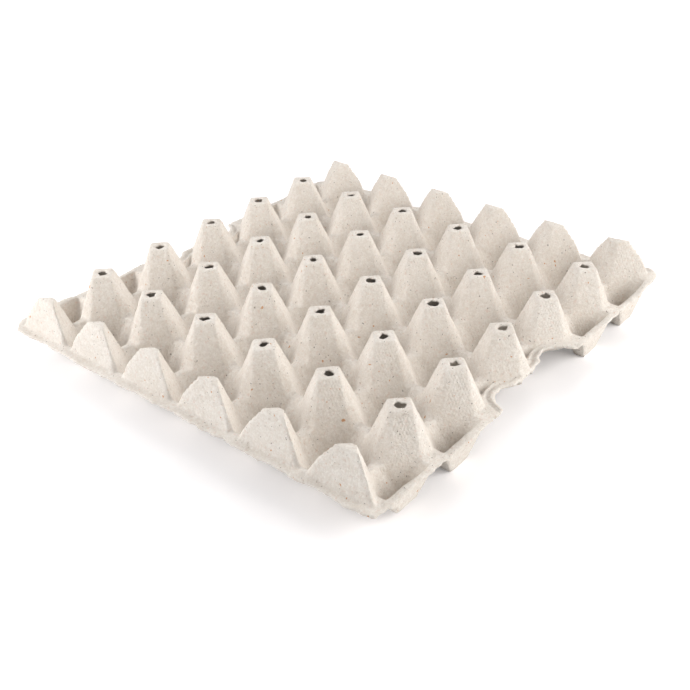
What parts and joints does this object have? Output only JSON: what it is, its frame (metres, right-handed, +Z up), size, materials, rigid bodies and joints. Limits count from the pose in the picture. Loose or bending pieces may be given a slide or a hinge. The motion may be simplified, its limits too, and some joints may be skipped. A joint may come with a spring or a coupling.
{
  "type": "pulp egg tray",
  "caption": "Square moulded pulp tray with rows of cups between hollow posts, half cups and finger notches along two sides.",
  "frame": {"origin": "under the middle of the tray, on the surface that the cup floors stand on", "axes": "+Z up, out of the cups; +X along the longer side, with more cups; +Y across it"},
  "size_m": [0.3014, 0.2926, 0.044],
  "materials": {
    "pulp": "rough matte moulded fibre"
  },
  "bodies": {
    "root": {"tray": "pulp"}
  },
  "joints": []
}
